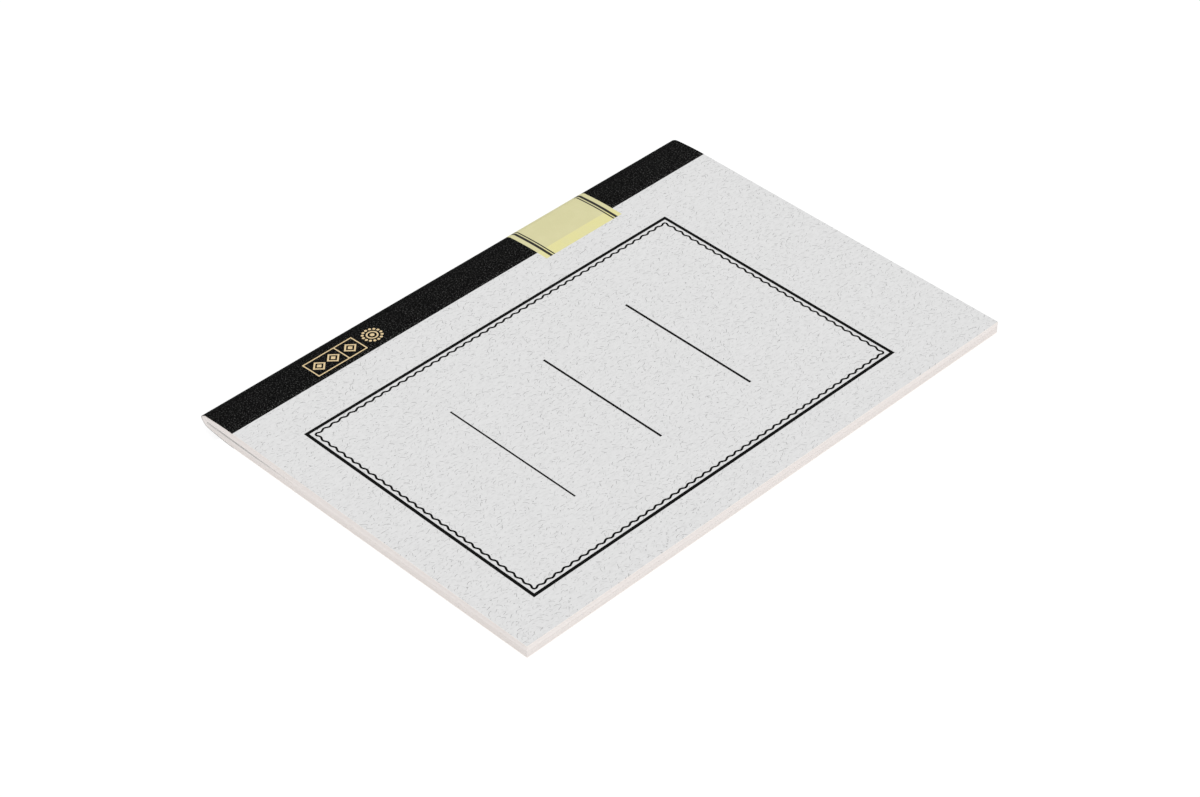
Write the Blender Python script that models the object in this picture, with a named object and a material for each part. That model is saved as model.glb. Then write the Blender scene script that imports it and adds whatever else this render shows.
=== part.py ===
# Lined notebook, closed and lying on its back cover.
#
# Sheets are folded once, nested and sewn through the fold. One cover sheet wraps round
# them, a cloth strip is pasted over the spine, and a paper label is pasted over the cloth.
# X runs from the spine (-) to the fore-edge (+), Y from the tail (-) to the head (+), and
# Z up. The origin lies under the middle of the notebook, on the surface it rests on.

import math

import bmesh
import bpy
from mathutils import Matrix, Vector

MM = 0.001

# Driving dimensions, in millimetres
HEIGHT = 297.0               # tail to head
WIDTH = 206.0                # back of the spine to the trimmed fore-edge
SHEET_COUNT = 24             # folded sheets, two leaves each
PAPER = 0.095                # thickness of one leaf
AIR_FORE = 0.017             # air between leaves at the trimmed edge
AIR_SPINE = 0.052            # air between leaves at the fold, where the block swells
CENTRE_GAP_FORE = 0.05       # half of the gap between the two middle leaves
CENTRE_GAP_SPINE = 0.35      # the same at the fold, where the thread lies
LABEL = 0.10                 # thickness of the label paper
CLOTH_UNDER_LABEL = 0.08     # cloth left under the pressed-in label
COVER_UNDER_CLOTH = 0.18     # cover left under the pressed-in cloth
PASTE_GAP = 0.02             # paste line between pasted layers
FOLD_GAP = 0.3               # where a panel or leaf stops short of its fold
CLOTH_FACE = 22.0            # reach of the cloth over each cover, from the back of the spine
LABEL_FACE = 28.3            # reach of the label over each cover, from the back of the spine
LABEL_LENGTH = 49.5          # label along the spine
LABEL_FROM_TAIL = 184.2      # tail to the label's lower edge
CREASE_LIFT = 0.15           # height of a cover's bending line outside its face

# Sewing, in millimetres
THREAD = 0.35                # thread diameter
STITCH = 11.0                # distance between needle holes
SEWING_MARGIN = 6.0          # head and tail to the first needle hole, at least
HOLE = 1.2                   # needle hole diameter
GROOVE_WIDTH = 0.6           # groove that the tight outer thread presses into the folds
GROOVE_DEPTH = 0.5
LOCK_GAP = 0.35              # clear distance between the two threads inside a hole
LEG_SPACING = 0.42           # distance between the two legs of a thread inside a hole
DIP_RUN = 0.75               # length of run that slants down to the mouth of a hole
MOUTH_DIP = 0.08             # how far the run has sunk at the mouth

ARC_STEPS = 12               # facets round the half-round spine, an even number
HOLE_SIDES = 8
OVERRUN = 1.0                # how far a cutter passes the face that it cuts

# Layers from the outside in
CLOTH = LABEL + PASTE_GAP + CLOTH_UNDER_LABEL
COVER = CLOTH + PASTE_GAP + COVER_UNDER_CLOTH
LABEL_SEAT = LABEL + PASTE_GAP
CLOTH_SEAT = CLOTH + PASTE_GAP

# Block of leaves, from the middle opening outwards
BLOCK_FORE = CENTRE_GAP_FORE + SHEET_COUNT * (PAPER + AIR_FORE)
BLOCK_SPINE = CENTRE_GAP_SPINE + SHEET_COUNT * (PAPER + AIR_SPINE)
SPINE_RADIUS = BLOCK_SPINE + PASTE_GAP + COVER
THICK_SPINE = 2 * SPINE_RADIUS
THICK_FORE = 2 * (BLOCK_FORE + PASTE_GAP + COVER)

# Places
X_BACK = -WIDTH / 2
X_FORE = WIDTH / 2
X_FOLD = X_BACK + SPINE_RADIUS
Z_FOLD = SPINE_RADIUS
X_START = X_FOLD + FOLD_GAP
X_CLOTH = X_BACK + CLOTH_FACE
X_LABEL = X_BACK + LABEL_FACE
Y_TAIL = -HEIGHT / 2
Y_HEAD = HEIGHT / 2
Y_LABEL_LOW = Y_TAIL + LABEL_FROM_TAIL
Y_LABEL_HIGH = Y_LABEL_LOW + LABEL_LENGTH

# Bending lines: the sewn fold, and the crease of each cover
FOLD_LINE = Vector((X_FOLD, 0, Z_FOLD))
FRONT_CREASE = Vector((X_FOLD, 0, THICK_SPINE + CREASE_LIFT))
BACK_CREASE = Vector((X_FOLD, 0, -CREASE_LIFT))

FULL_LENGTH = (Y_TAIL, Y_HEAD)
LABEL_SPAN = (Y_LABEL_LOW, Y_LABEL_HIGH)
LABEL_SEAT_SPAN = (Y_LABEL_LOW - PASTE_GAP, Y_LABEL_HIGH + PASTE_GAP)


def material(name, colour, roughness):
    made = bpy.data.materials.new(name)
    made.use_nodes = True
    shader = made.node_tree.nodes["Principled BSDF"]
    shader.inputs["Base Color"].default_value = (*colour, 1)
    shader.inputs["Roughness"].default_value = roughness
    shader.inputs["Metallic"].default_value = 0
    made.diffuse_color = (*colour, 1)
    return made


def blend(at_spine, at_fore, x):
    """A height that changes evenly from the fold to the fore-edge."""
    return at_spine + (at_fore - at_spine) * (x - X_FOLD) / (X_FORE - X_FOLD)


def front_face(x, depth):
    """Height of a layer that lies the given depth inside the front of the notebook."""
    return blend(THICK_SPINE, THICK_FORE, x) - depth


def back_face(x, depth):
    """Height of a layer that lies the given depth inside the flat back of the notebook."""
    return depth


def middle(x):
    """Height of the middle opening."""
    return front_face(x, 0) / 2


def place(made, pivot, parent):
    """Link an object with its origin on the line that it turns about."""
    made.location = pivot * MM
    made.parent = parent
    bpy.context.scene.collection.objects.link(made)
    return made


def extrude(name, section, span, pivot, parent, finish=None):
    """Solid with an X-Z section, drawn along the spine between two Y values."""
    mesh = bmesh.new()
    low, high = span
    ring = [mesh.verts.new((Vector((x, low, z)) - pivot) * MM) for x, z in section]
    face = mesh.faces.new(ring)
    grown = bmesh.ops.extrude_face_region(mesh, geom=[face])["geom"]
    raised = [item for item in grown if isinstance(item, bmesh.types.BMVert)]
    bmesh.ops.translate(mesh, verts=raised, vec=(0, (high - low) * MM, 0))
    bmesh.ops.recalc_face_normals(mesh, faces=mesh.faces)
    data = bpy.data.meshes.new(name)
    mesh.to_mesh(data)
    mesh.free()
    if finish:
        data.materials.append(finish)
    return place(bpy.data.objects.new(name, data), pivot, parent)


def smooth(made, angle=40):
    made.data.shade_smooth()
    made.data.set_sharp_from_angle(angle=math.radians(angle))


def hide_cutter(made):
    made.hide_render = True
    made.display_type = "WIRE"


def cut(made, cutter):
    step = made.modifiers.new(cutter.name, "BOOLEAN")
    step.operation = "DIFFERENCE"
    step.object = cutter


def arc(radius, start, stop):
    """Points round the fold line, at angles in degrees counted from the fore-edge side."""
    points = []
    for step in range(ARC_STEPS + 1):
        angle = math.radians(start + (stop - start) * step / ARC_STEPS)
        points.append((X_FOLD + radius * math.cos(angle), Z_FOLD + radius * math.sin(angle)))
    return points


def spine_ring(inner, outer):
    """Section of a layer that goes half round the spine."""
    return arc(outer, 90, 270) + arc(inner, 270, 90)


def panel_layer(face, start, stop, shallow, deep):
    """Section of a flat layer on a cover, between two depths."""
    return [
        (start, face(start, shallow)),
        (stop, face(stop, shallow)),
        (stop, face(stop, deep)),
        (start, face(start, deep)),
    ]


def cover_panel(face):
    """Section of a cover, with the seat that the cloth is pressed into."""
    edge = X_CLOTH + PASTE_GAP
    return [
        (X_START, face(X_START, CLOTH_SEAT)),
        (edge, face(edge, CLOTH_SEAT)),
        (edge, face(edge, 0)),
        (X_FORE, face(X_FORE, 0)),
        (X_FORE, face(X_FORE, COVER)),
        (X_START, face(X_START, COVER)),
    ]


def leaf_section(side, number):
    """Section of one leaf. Number 0 lies at the middle opening, and side is 1 or -1."""
    at_spine = CENTRE_GAP_SPINE + number * (PAPER + AIR_SPINE) + AIR_SPINE / 2
    at_fore = CENTRE_GAP_FORE + number * (PAPER + AIR_FORE) + AIR_FORE / 2
    corners = []
    for x, thick in ((X_START, 0), (X_FORE, 0), (X_FORE, PAPER), (X_START, PAPER)):
        corners.append((x, middle(x) + side * (blend(at_spine, at_fore, x) + thick)))
    return corners


def fold_section():
    """Section of the nested folds, with the groove of the outer thread at the back."""
    half = GROOVE_WIDTH / 2
    facet = math.radians(180 / ARC_STEPS)
    lip = BLOCK_SPINE - half * math.tan(facet / 2)
    floor = BLOCK_SPINE - GROOVE_DEPTH
    groove = [(-lip, half), (-floor, half), (-floor, -half), (-lip, -half)]
    outer = arc(BLOCK_SPINE, 90, 270)
    back = ARC_STEPS // 2
    groove_points = [(X_FOLD + x, Z_FOLD + z) for x, z in groove]
    return outer[:back] + groove_points + outer[back + 1:] + arc(CENTRE_GAP_SPINE, 270, 90)


def needle_holes():
    """Y of each needle hole, evenly along the spine."""
    stitches = int((HEIGHT - 2 * SEWING_MARGIN) // STITCH)
    first = -stitches * STITCH / 2
    return [first + STITCH * number for number in range(stitches + 1)]


def hole_cutters(parent):
    """Round bars along X, one through each needle hole."""
    mesh = bmesh.new()
    length = BLOCK_SPINE + 2 * OVERRUN
    quarter_turn = Matrix.Rotation(math.radians(90), 3, "Y")
    for y in needle_holes():
        made = bmesh.ops.create_cone(
            mesh, cap_ends=True, segments=HOLE_SIDES, radius1=HOLE / 2 * MM,
            radius2=HOLE / 2 * MM, depth=length * MM)
        bmesh.ops.rotate(mesh, verts=made["verts"], matrix=quarter_turn)
        bmesh.ops.translate(mesh, verts=made["verts"], vec=(-BLOCK_SPINE / 2 * MM, y * MM, 0))
    data = bpy.data.meshes.new("needle_hole_cutters")
    mesh.to_mesh(data)
    mesh.free()
    made = place(bpy.data.objects.new("needle_hole_cutters", data), FOLD_LINE, parent)
    hide_cutter(made)
    return made


def thread_points(run_depth, dip_depth):
    """Route of a thread: a straight run between holes, and a narrow loop into each hole.

    Depths are counted from the fold line towards the back of the spine.
    """
    leg = LEG_SPACING / 2
    mouth = run_depth + math.copysign(MOUTH_DIP, dip_depth - run_depth)
    loop = [(run_depth, leg + DIP_RUN), (mouth, leg), (dip_depth, leg)]
    points = []
    for y in needle_holes():
        points.extend((depth, y - away) for depth, away in loop)
        points.extend((depth, y + away) for depth, away in reversed(loop))
    return points


def thread(name, run_depth, dip_depth, parent, finish):
    curve = bpy.data.curves.new(name, "CURVE")
    curve.dimensions = "3D"
    curve.bevel_depth = THREAD / 2 * MM
    curve.bevel_resolution = 1
    curve.use_fill_caps = True
    spline = curve.splines.new("POLY")
    route = thread_points(run_depth, dip_depth)
    spline.points.add(len(route) - 1)
    for point, (depth, y) in zip(spline.points, route):
        point.co = (-depth * MM, y * MM, 0, 1)
    curve.materials.append(finish)
    return place(bpy.data.objects.new(name, curve), FOLD_LINE, parent)


def make_cover(side, face, pivot, parent, finishes):
    """One cover with its share of the cloth and of the label."""
    cover_finish, cloth_finish, label_finish = finishes
    seat = extrude(
        side + "_label_seat",
        panel_layer(face, X_START - OVERRUN, X_LABEL + PASTE_GAP, -OVERRUN, LABEL_SEAT),
        LABEL_SEAT_SPAN, pivot, parent)
    hide_cutter(seat)
    cover = extrude(side + "_cover", cover_panel(face), FULL_LENGTH, pivot, parent, cover_finish)
    cut(cover, seat)
    cloth = extrude(
        side + "_cloth", panel_layer(face, X_START, X_CLOTH, 0, CLOTH),
        FULL_LENGTH, pivot, parent, cloth_finish)
    cut(cloth, seat)
    extrude(
        side + "_label", panel_layer(face, X_START, X_LABEL, 0, LABEL),
        LABEL_SPAN, pivot, parent, label_finish)


def make_spine(parent, finishes, paper_finish, thread_finish):
    """Everything that bends round the fold, and the sewing."""
    cover_finish, cloth_finish, label_finish = finishes
    folds = extrude("sheet_folds", fold_section(), FULL_LENGTH, FOLD_LINE, parent, paper_finish)
    cut(folds, hole_cutters(parent))
    layers = (
        ("cover_spine", COVER, CLOTH_SEAT, FULL_LENGTH, cover_finish),
        ("cloth_spine", CLOTH, 0, FULL_LENGTH, cloth_finish),
        ("label_spine", LABEL, 0, LABEL_SPAN, label_finish),
        ("spine_label_seat", LABEL_SEAT, -OVERRUN, LABEL_SEAT_SPAN, None),
    )
    made = {}
    for name, deep, shallow, span, finish in layers:
        section = spine_ring(SPINE_RADIUS - deep, SPINE_RADIUS - shallow)
        made[name] = extrude(name, section, span, FOLD_LINE, parent, finish)
        smooth(made[name])
    hide_cutter(made["spine_label_seat"])
    cut(made["cloth_spine"], made["spine_label_seat"])
    lock = (CENTRE_GAP_SPINE + BLOCK_SPINE - GROOVE_DEPTH) / 2
    reach = (LOCK_GAP + THREAD) / 2
    outer_run = BLOCK_SPINE - GROOVE_DEPTH / 2
    thread("inner_thread", 0, lock - reach, parent, thread_finish)
    thread("outer_thread", outer_run, lock + reach, parent, thread_finish)


def make_leaves(parent, finish):
    """Both leaves of every sheet, numbered from the front cover to the back cover."""
    for number in range(SHEET_COUNT):
        front_name = f"front_leaf_{SHEET_COUNT - number:02d}"
        back_name = f"back_leaf_{number + 1:02d}"
        for name, side in ((front_name, 1), (back_name, -1)):
            extrude(name, leaf_section(side, number), FULL_LENGTH, FOLD_LINE, parent, finish)


def main():
    for old in list(bpy.data.objects):
        bpy.data.objects.remove(old)
    notebook = bpy.data.objects.new("notebook", None)
    bpy.context.scene.collection.objects.link(notebook)
    cover_finish = material("grey_cover_paper", (0.70, 0.71, 0.72), 0.8)
    cloth_finish = material("black_spine_cloth", (0.012, 0.012, 0.013), 0.75)
    label_finish = material("yellow_label_paper", (0.76, 0.71, 0.33), 0.6)
    paper_finish = material("cream_leaf_paper", (0.86, 0.81, 0.78), 0.85)
    thread_finish = material("white_thread", (0.85, 0.84, 0.80), 0.7)
    finishes = (cover_finish, cloth_finish, label_finish)
    make_leaves(notebook, paper_finish)
    make_spine(notebook, finishes, paper_finish, thread_finish)
    make_cover("front", front_face, FRONT_CREASE, notebook, finishes)
    make_cover("back", back_face, BACK_CREASE, notebook, finishes)


main()
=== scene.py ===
# Looks of the lined notebook: paper, cloth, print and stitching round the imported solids.
#
# Everything is modelled in millimetres in the frame of the solids and brought to metres at
# the end of each piece. X runs from the spine to the fore-edge, Y from the tail to the head.

import math

import bmesh
import bpy
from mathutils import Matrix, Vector


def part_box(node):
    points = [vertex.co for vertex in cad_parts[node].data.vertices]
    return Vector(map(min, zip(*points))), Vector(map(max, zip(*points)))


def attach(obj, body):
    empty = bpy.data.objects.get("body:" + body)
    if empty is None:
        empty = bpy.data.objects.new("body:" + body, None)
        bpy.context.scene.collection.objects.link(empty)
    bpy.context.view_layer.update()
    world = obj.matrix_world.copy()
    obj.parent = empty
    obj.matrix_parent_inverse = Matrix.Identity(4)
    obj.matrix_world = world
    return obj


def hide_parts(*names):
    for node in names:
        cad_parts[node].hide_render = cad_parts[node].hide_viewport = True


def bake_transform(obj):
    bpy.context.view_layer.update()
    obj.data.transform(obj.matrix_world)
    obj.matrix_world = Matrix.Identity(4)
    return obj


MM = 0.001

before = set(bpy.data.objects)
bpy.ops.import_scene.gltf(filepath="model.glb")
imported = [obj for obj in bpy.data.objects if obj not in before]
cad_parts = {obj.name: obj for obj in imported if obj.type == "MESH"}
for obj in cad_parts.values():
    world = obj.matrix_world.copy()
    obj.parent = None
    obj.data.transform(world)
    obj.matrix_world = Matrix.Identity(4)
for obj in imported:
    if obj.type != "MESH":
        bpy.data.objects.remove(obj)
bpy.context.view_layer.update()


def solid(name):
    """Lowest and highest corner of a solid, in millimetres."""
    low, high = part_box(name)
    return low / MM, high / MM


# Places read from the solids
SPINE_LOW, SPINE_HIGH = solid("cloth_spine")
X_FOLD = SPINE_HIGH.x
Z_FOLD = (SPINE_LOW.z + SPINE_HIGH.z) / 2
RADIUS = (SPINE_HIGH.z - SPINE_LOW.z) / 2
Y_TAIL = SPINE_LOW.y
Y_HEAD = SPINE_HIGH.y
COVER = solid("back_cover")[1].z
CLOTH = solid("back_cloth")[1].z
X_FORE = solid("front_cover")[1].x
X_CLOTH = solid("front_cloth")[1].x
X_LABEL = solid("front_label")[1].x
LABEL_TAIL = solid("front_label")[0].y
LABEL_HEAD = solid("front_label")[1].y
TOP_SPINE = 2 * RADIUS
TOP_FORE = solid("front_cover")[0].z + COVER

# Layers of paper and cloth, in millimetres
SHEETS = 24                    # folded sheets, each with a front and a back leaf
PASTE = 0.02                   # room for paste under the cloth and at its edge
CLOTH_SEAT = CLOTH + PASTE     # depth of the step in the cover that the cloth lies in
LABEL_PROUD = 0.05             # how far the pasted label stands out of the cloth
LABEL_SUNK = 0.05              # and how far it is pressed in
BEND = 2.0                     # width of the crease that a cover bends along
BEND_CUTS = 10
TUCK_FRONT = 0.94              # how far the front draws in at the sewn fold
TUCK_BACK = 1.4                # and the back, which lifts off the table there
TUCK_REACH = 16.0              # distance from the fold over which it does
TUCK_CUTS = 8                  # cuts over that distance beyond the crease
TUCK_CURVE = 1.6               # how much of it happens close to the fold
NOSE = 0.28                    # how far the round spine comes to a nose, as a share of its radius
NOSE_ANGLE = math.radians(76)  # where the nose is, from the front round to the back
NOSE_SPREAD = math.radians(27)
QUARTER = RADIUS * math.pi / 2               # girth from the middle of the spine to the fold line
CLOTH_GIRTH = QUARTER + X_CLOTH - X_FOLD     # and to the edge of the cloth
RING_STEPS = 48                # facets round the spine
FOLD_STEPS = 16                # facets round the fold of a sheet
END_RECESS = 0.12              # how far the bent layers stay inside the head and tail
LEAF_START = 0.28              # reach of a folded sheet beyond the fold line
FOLD_SWELL = 0.14              # room that a sheet takes up at its fold, where it springs open
EDGE_SWELL = 0.106             # room that a leaf takes up at the fore-edge
LEAF_EDGE = 0.018              # rounding of the edges of a leaf
SOFT_EDGE = 0.05               # rounding of cut paper and cloth edges
CUT_ANGLE = 40                 # edges sharper than this are rounded
SMOOTH_ANGLE = 20              # and edges up to this are shaded smooth
CARD_FLATTEST = 0.5            # a face less flat than this is a cut edge of the card or of a fold
LEAF_FLATTEST = 0.95           # or of a leaf, whose rounded edges count too

# Finishes, with grain in cells per metre and widths in millimetres
GRAIN_SPREAD = 2.2             # radians between the outermost directions of the fibres
CARD_GRAIN = 2600.0
CARD_STREAKS = (900.0, 260.0, 1.0)
LEAF_GRAIN = 3000.0
LEAF_BANDS = (3.0, 3.0, 1300.0)     # tones of the leaf edges, which change through the block
LEAF_SHADED = (0.3, -2.5)      # and get darker between these heights over the fold line
LABEL_GRAIN = 2200.0
THREAD_FUZZ = 6000.0
WORN_GRAIN = 1500.0            # dust in the cloth, and rubbed places in the foil
WEAVE_PITCH = 0.42
WEAVE_SWAY = 0.12              # how far the threads of the weave wander
SWAY_GRAIN = 900.0
SLUB_GRAIN = (900.0, 220.0)    # across a thread of the weave, and along it
CLOTH_SHADED_ROUND = (-1.5, 2.0)      # painted shade: the cloth is painted blacker here as it turns round the spine, away from the light
CLOTH_BRUSHED = 4.0            # and dustier over this width at its cut edge
CLOTH_BLUR = 0.15              # softness of the edge of the cloth under the label
CREAM_SHADE = (0.86, 0.81, 0.785)

# Relief of the finishes, in millimetres
CARD_RELIEF = 0.03
CLOTH_RELIEF = 0.05
LABEL_RELIEF = 0.025
LEAF_RELIEF = 0.015
CUT_LEAF_RELIEF = 0.004
THREAD_RELIEF = 0.02
INK_RELIEF = 0.02
FOIL_RELIEF = 0.03

# Print on the front cover, in millimetres
INK = 0.01
FRAME_X = (-58.08, 83.68)
FRAME_Y = (-125.78, 97.46)
FRAME_LINE = 1.7
WAVE_INSET = 2.72
WAVE_LENGTH = 5.0
WAVE_HEIGHT = 0.46
WAVE_LINE = 1.02
WAVE_CORNER = 1.3
WAVE_STATIONS = 12             # points in one wave
WRITING_LINES = (              # Y, start, stop and width of each
    (37.1, -24.5, 53.1, 1.22),
    (-17.3, -22.3, 50.9, 1.15),
    (-71.3, -25.2, 52.4, 0.9),
)

# Gold stamp on the cloth, in millimetres
FOIL = 0.012
STAMP_X = (-95.3, -84.2)
STAMP_Y = (-96.0, -67.6)
STAMP_DIVIDER = -78.0
STAMP_LINE = 0.62
LOZENGE = 3.7                  # half the diagonal of an open lozenge
LOZENGE_LINE = 0.8
LOZENGE_CORE = 1.4             # half the diagonal of the solid one inside it
LOZENGE_STEP = 4.1             # from the middle of the lower box to each of its lozenges
ROSETTE = (-89.75, -59.6)
ROSETTE_RADIUS = 5.2
ROSETTE_DOTS = 14
ROSETTE_DOT = 0.72
ROSETTE_RING = 2.9
ROSETTE_LINE = 0.75
ROSETTE_CORE = 1.1
LOZENGE_SIDES, DOT_SIDES, RING_SIDES, CORE_SIDES = 4, 12, 32, 16

# Rules at both ends of the label, in millimetres: distance from the end, and width
LABEL_THICK_RULE = (3.3, 1.5)
LABEL_THIN_RULE = (5.1, 0.75)

# Rules on the leaves, in millimetres
RULE_PITCH = 8.0
RULE_FIRST = 26.0              # from the head
RULE_LAST = 20.0               # from the tail, at least
RULE_LINE = 0.22

# Where the block gapes in the middle, next to the fold, in millimetres
GAPE_END = -35.0               # the leaves lie close together from here on
CLOSED_GAP = 0.03              # half of the gap that they leave there
GAPE_SHADE_X = (-90.0, GAPE_END)     # painted shade: the grey painted on the leaf edges for the gap fades from the fold outwards
GAPE_SHADE_WIDTH = (0.36, 0.62)       # and away from the middle

# Sewing, in millimetres
STITCH = 11.0
NEEDLE_HOLES = 26
PLY = 0.09                     # radius of one of the two plies
TWIST = 1.1                    # length of one turn of the plies
LEG = 0.21                     # from the middle of a needle hole to the thread in it
DIP_RUN = 0.75                 # length over which a thread slants towards a hole
DIP_START = 0.06               # share of its dip that it has gone by then
THREAD_STEP = 0.2
INNER_RUN, INNER_DIP = 0.08, 1.2
OUTER_RUN, OUTER_DIP = 2.95, 1.8
HALF_TURN = 60.0               # reach each way from the fold line, for two points that are worked out but not used

# Camera at the photograph's place, in metres and degrees
CAMERA_PLACE = (0.741187, -0.741812, 0.855155)
CAMERA_TURN = (50.41936, 0.17172, 44.99289)
CAMERA_LENS = 90.759
CAMERA_SENSOR = 36.0

# Stage, in metres
FLOOR_SIZE = 6.0
FLOOR_STEP = 2.6 * MM          # how much lower the floor is where the back cover opens to
FLOOR_EDGE = X_FOLD * MM + 0.008    # it is lower from here on, towards the spine and beyond
FLOOR_BOUNCE = 0.82            # tone of the floor as it lights the notebook
FLOOR_SHADE = 0.18             # tone of what the camera sees of it, as far as it takes a shadow
FLOOR_GLOW = 0.88              # and as far as it doesn't

# Light
KEY_FROM = (1.1, -0.5, 1.1)
KEY_STRENGTH = 0.8
KEY_SPREAD = 60.0              # in degrees
SKY_STRENGTH = 0.78


# Modelling

def front_face(x, depth=0.0):
    """Height of a layer inside the front, which slopes down from the fold to the fore-edge."""
    return TOP_SPINE + (TOP_FORE - TOP_SPINE) * (x - X_FOLD) / (X_FORE - X_FOLD) - depth


def back_face(x, depth=0.0):
    """Height of a layer inside the flat back."""
    return depth


def girth(point):
    """Distance round the outside of the notebook from the middle of the spine, front positive."""
    across = point.z - Z_FOLD
    if point.x > X_FOLD:
        away = QUARTER + point.x - X_FOLD
    else:
        away = RADIUS * math.atan2(abs(across), X_FOLD - point.x)
    return math.copysign(away, across)


def map_girth(mesh):
    """UV map in metres that runs round the spine without a break."""
    layer = mesh.loops.layers.uv.new("girth")
    for face in mesh.faces:
        for loop in face.loops:
            loop[layer].uv = (girth(loop.vert.co) * MM, loop.vert.co.y * MM)


def pull_out(mesh, faces, along):
    """Extrudes faces by a vector."""
    grown = bmesh.ops.extrude_face_region(mesh, geom=faces)["geom"]
    moved = [part for part in grown if isinstance(part, bmesh.types.BMVert)]
    bmesh.ops.translate(mesh, verts=moved, vec=along)


def section_bar(section, low, high):
    """Closed bar with an X-Z section, drawn along Y."""
    mesh = bmesh.new()
    face = mesh.faces.new([mesh.verts.new((x, low, z)) for x, z in section])
    pull_out(mesh, [face], (0, high - low, 0))
    bmesh.ops.recalc_face_normals(mesh, faces=mesh.faces)
    return mesh


def cut_at(mesh, x):
    """One cut through the whole mesh, across X."""
    everything = mesh.verts[:] + mesh.edges[:] + mesh.faces[:]
    bmesh.ops.bisect_plane(mesh, geom=everything, plane_co=(x, 0, 0), plane_no=(1, 0, 0))


def cut_across(mesh, start, stop, count):
    """Evenly spaced cuts across X, so that a flat layer can bend."""
    for step in range(1, count + 1):
        cut_at(mesh, start + (stop - start) * step / count)


def tuck(x, most):
    """How far a side of the notebook draws in towards the sewn fold."""
    near = max(0.0, 1 - (x - X_FOLD) / TUCK_REACH)
    return most * near ** TUCK_CURVE


def tucked(radius, most):
    """Radius of a layer round the fold once it is drawn in, the leaves by their share."""
    return radius - most * min(1.0, radius / (RADIUS - COVER))


def draw_in(mesh):
    """Draws layers in towards the sewn fold, and the round spine to a nose that matches."""
    for vert in mesh.verts:
        place = vert.co
        if place.x < X_FOLD:
            draw_round(place)
        else:
            middle = front_face(place.x) / 2
            most = TUCK_FRONT if place.z > middle else TUCK_BACK
            share = (place.z - middle) / (middle - COVER)
            place.z -= tuck(place.x, most) * max(-1.0, min(1.0, share))


def draw_round(place):
    """Moves a point of the round spine straight towards or away from the fold line."""
    back, up = X_FOLD - place.x, place.z - Z_FOLD
    radius = math.hypot(back, up)
    angle = math.atan2(back, up)
    most = TUCK_FRONT + (TUCK_BACK - TUCK_FRONT) * (1 - up / radius) / 2
    nose = 1 + NOSE * math.exp(-((angle - NOSE_ANGLE) / NOSE_SPREAD) ** 2)
    scale = nose * tucked(radius, most) / radius
    place.x = X_FOLD - back * scale
    place.z = Z_FOLD + up * scale


def soften(mesh, width=SOFT_EDGE):
    """Rounds the cut edges, apart from those on the seam at the fold line."""
    edges = []
    for edge in mesh.edges:
        on_seam = all(vert.co.x < X_FOLD + SOFT_EDGE for vert in edge.verts)
        if not on_seam and edge.calc_face_angle(0) > math.radians(CUT_ANGLE):
            edges.append(edge)
    bmesh.ops.bevel(
        mesh, geom=edges, offset=width, offset_type="OFFSET", affect="EDGES",
        segments=2, profile=0.5, material=-1, clamp_overlap=True)


def half_ring(outer, thick, low, high, steps, reach=0.0):
    """Closed half tube round the fold, with straight ends that reach towards the fore-edge."""
    mesh = bmesh.new()
    inner = outer - thick
    corners = ((outer, low), (inner, low), (inner, high), (outer, high))
    face = mesh.faces.new([mesh.verts.new((X_FOLD, y, Z_FOLD - r)) for r, y in corners])
    bmesh.ops.spin(
        mesh, geom=[face], cent=(X_FOLD, 0, Z_FOLD), axis=(0, 1, 0),
        angle=math.pi, steps=steps, use_merge=False)
    if reach:
        for end in [part for part in mesh.faces if on_fold_line(part)]:
            pull_out(mesh, [end], (reach, 0, 0))
    bmesh.ops.recalc_face_normals(mesh, faces=mesh.faces)
    return mesh


def on_fold_line(face):
    return all(abs(vert.co.x - X_FOLD) < SOFT_EDGE for vert in face.verts)


def place_object(name, data):
    made = bpy.data.objects.new(name, data)
    bpy.context.scene.collection.objects.link(made)
    return made


def make_piece(name, mesh, finish, slot=None, smooth=True):
    """Object at the origin from a mesh modelled in millimetres."""
    bmesh.ops.scale(mesh, verts=mesh.verts, vec=(MM, MM, MM))
    data = bpy.data.meshes.new(name)
    mesh.to_mesh(data)
    mesh.free()
    data.materials.append(finish)
    if smooth:
        data.shade_smooth()
        data.set_sharp_from_angle(angle=math.radians(SMOOTH_ANGLE))
    made = place_object(name, data)
    return made


def at(x, z):
    """Point in the middle of the notebook's length, in metres."""
    return (x * MM, 0, z * MM)


# Node helpers

def feed(tree, socket, value):
    """Links a socket to another, or sets its value."""
    if isinstance(value, bpy.types.NodeSocket):
        tree.links.new(value, socket)
    else:
        socket.default_value = value


def add(tree, kind, inputs=None, **settings):
    made = tree.nodes.new("ShaderNode" + kind)
    for name, value in settings.items():
        setattr(made, name, value)
    for name, value in (inputs or {}).items():
        feed(tree, made.inputs[name], value)
    return made


def calc(tree, operation, *values):
    return add(tree, "Math", dict(enumerate(values)), operation=operation).outputs[0]


def ramp(tree, value, low, high, start=0.0, stop=1.0):
    """Smooth change from start to stop while the value goes from low to high."""
    made = add(
        tree, "MapRange", {0: value, 1: low, 2: high, 3: start, 4: stop},
        interpolation_type="SMOOTHSTEP")
    return made.outputs[0]


def grey(level):
    return (level, level, level)


def mix_colour(tree, share, first, second):
    made = add(tree, "Mix", data_type="RGBA")
    feed(tree, made.inputs[0], share)
    for socket, value in ((made.inputs[6], first), (made.inputs[7], second)):
        feed(tree, socket, value if isinstance(value, bpy.types.NodeSocket) else (*value, 1))
    return made.outputs[2]


def noise(tree, place, scale, detail=2.0, roughness=0.5):
    """Noise from 0 to 1, with its scale given in cells per metre."""
    made = add(tree, "TexNoise", {
        "Vector": place, "Scale": scale, "Detail": detail, "Roughness": roughness})
    return made.outputs["Fac"]


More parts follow.
